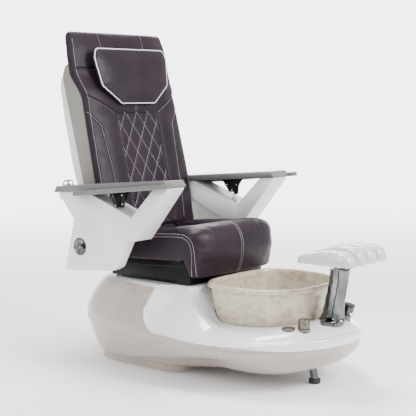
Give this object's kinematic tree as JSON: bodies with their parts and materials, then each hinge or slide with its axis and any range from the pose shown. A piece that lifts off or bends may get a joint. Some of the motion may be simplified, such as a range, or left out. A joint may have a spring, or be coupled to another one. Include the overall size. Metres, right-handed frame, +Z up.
{
  "type": "pedicure spa chair",
  "caption": "Reclining massage armchair with quilted back and pillow on a moulded foot spa base with a basin, chrome footrest column and deck controls.",
  "frame": {"origin": "on the floor under the middle of the whole chair", "axes": "+Z up, the sitter faces -Y, +X is the sitter's left"},
  "size_m": [0.942, 1.5109, 1.5003],
  "materials": {
    "gelcoat_deck": "high gloss white gelcoat",
    "gelcoat_hull": "pearl beige-grey gloss gelcoat",
    "basin_pearl": "cream pearl marbled",
    "frame_steel": "black powder coat",
    "black_plastic": "moulded",
    "hose_rubber": "ribbed",
    "chrome": "polished",
    "brass": "machined",
    "rubber": "matte",
    "pad_white": "glossy moulded",
    "nickel": "brushed nickel",
    "black_gloss": "gloss black",
    "zinc_steel": "zinc plated",
    "plywood": "birch plywood",
    "leather": "plum-grey semi-matte upholstery leather with pale stitching",
    "panel_white": "satin-gloss white",
    "armrest_grey": "satin warm grey",
    "bracket_black": "black powder coat",
    "shell_grey": "satin warm grey",
    "cover_white": "white",
    "roller_plastic": "smooth"
  },
  "bodies": {
    "base": {"upper_shell": "gelcoat_deck", "lower_shell": "gelcoat_hull", "basin": "basin_pearl", "base_frame": "frame_steel", "drain_pump": "black_plastic", "drain_hose": "hose_rubber", "drain_strainer": "chrome", "jet_housing": "chrome", "jet_motor": "black_plastic", "control_box": "black_plastic", "water_inlets": "brass", "rubber_feet": "rubber", "front_leg": "chrome", "column_flange": "chrome", "footrest_column": "chrome", "footrest_bracket": "chrome", "deck_trim_rings": "nickel", "rail_box": "black_gloss", "fixed_rails": "zinc_steel", "slide_motor": "black_plastic"},
    "impeller": {"jet_impeller": "black_plastic"},
    "knob": {"mixer_knob": "nickel"},
    "button": {"air_button": "nickel"},
    "hand_shower": {"hand_shower": "chrome"},
    "footrest": {"footrest_pivot_plate": "chrome", "footrest_pads": "pad_white"},
    "seat": {"moving_rails": "zinc_steel", "slide_spindle": "zinc_steel", "seat_pan": "plywood", "cross_tube": "frame_steel", "pivot_shaft": "zinc_steel", "recline_motor": "frame_steel", "seat_cushion": "leather", "seat_front_roll": "leather", "seat_bolster_left": "leather", "seat_bolster_right": "leather", "arm_panel_left": "panel_white", "arm_panel_right": "panel_white", "lower_panel_left": "panel_white", "lower_panel_right": "panel_white", "armrest_left": "armrest_grey", "armrest_right": "armrest_grey", "tray_brackets": "bracket_black", "latch_discs": "chrome", "remote_holder": "black_plastic"},
    "tray_left": {"side_tray_left": "armrest_grey"},
    "tray_right": {"side_tray_right": "armrest_grey"},
    "lever_left": {"latch_lever_left": "chrome"},
    "lever_right": {"latch_lever_right": "chrome"},
    "backrest": {"back_frame": "frame_steel", "back_side_shell": "shell_grey", "back_rear_cover": "cover_white", "massage_rails": "zinc_steel", "back_cushion": "leather", "headrest_panel": "leather", "pillow_mount": "black_plastic"},
    "massage_carriage": {"massage_carriage": "frame_steel", "massage_motor": "black_plastic"},
    "rollers": {"massage_rollers": "roller_plastic"},
    "pillow": {"pillow": "leather"}
  },
  "joints": [
    {"name": "seat_slide", "type": "slide", "parent": "base", "child": "seat", "axis": [0, -1, 0], "range_m": [0, 0.1]},
    {"name": "back_recline", "type": "hinge", "parent": "seat", "child": "backrest", "pos_m": [0, 0.4956, 0.536], "axis": [-1, 0, 0], "range_deg": [0, 35]},
    {"name": "massage_travel", "type": "slide", "parent": "backrest", "child": "massage_carriage", "axis": [0, 0.225, 0.9744], "range_m": [-0.25, 0.2]},
    {"name": "roller_spin", "type": "hinge", "parent": "massage_carriage", "child": "rollers", "pos_m": [0, 0.57509, 0.96922], "axis": [1, 0, 0], "continuous": true},
    {"name": "pillow_height", "type": "slide", "parent": "backrest", "child": "pillow", "axis": [0, 0.225, 0.9744], "range_m": [0, 0.05]},
    {"name": "tray_left_drop", "type": "hinge", "parent": "seat", "child": "tray_left", "pos_m": [0.437, -0.0694, 0.84], "axis": [0, 0.9935, -0.1135], "range_deg": [0, 90]},
    {"name": "tray_right_drop", "type": "hinge", "parent": "seat", "child": "tray_right", "pos_m": [-0.437, -0.0694, 0.84], "axis": [0, -0.9935, 0.1135], "range_deg": [0, 90]},
    {"name": "lever_left_turn", "type": "hinge", "parent": "seat", "child": "lever_left", "pos_m": [0.414, 0.4956, 0.536], "axis": [-1, 0, 0], "range_deg": [0, 90]},
    {"name": "lever_right_turn", "type": "hinge", "parent": "seat", "child": "lever_right", "pos_m": [-0.414, 0.4956, 0.536], "axis": [-1, 0, 0], "range_deg": [0, 90]},
    {"name": "footrest_tilt", "type": "hinge", "parent": "base", "child": "footrest", "pos_m": [0, -0.6144, 0.515], "axis": [1, 0, 0], "range_deg": [-18, 18]},
    {"name": "knob_turn", "type": "hinge", "parent": "base", "child": "knob", "pos_m": [-0.158, -0.5464, 0.269], "axis": [0, 0, 1], "range_deg": [-120, 120]},
    {"name": "button_press", "type": "slide", "parent": "base", "child": "button", "axis": [0, 0, -1], "range_m": [0, 0.004], "stiffness_N_per_m": 400, "springref_m": -0.001},
    {"name": "hand_shower_lift", "type": "slide", "parent": "base", "child": "hand_shower", "axis": [0.1198, -0.2196, 0.9682], "range_m": [0, 0.12]},
    {"name": "impeller_spin", "type": "hinge", "parent": "base", "child": "impeller", "pos_m": [0, -0.0704, 0.262], "axis": [0, 1, 0], "continuous": true}
  ]
}
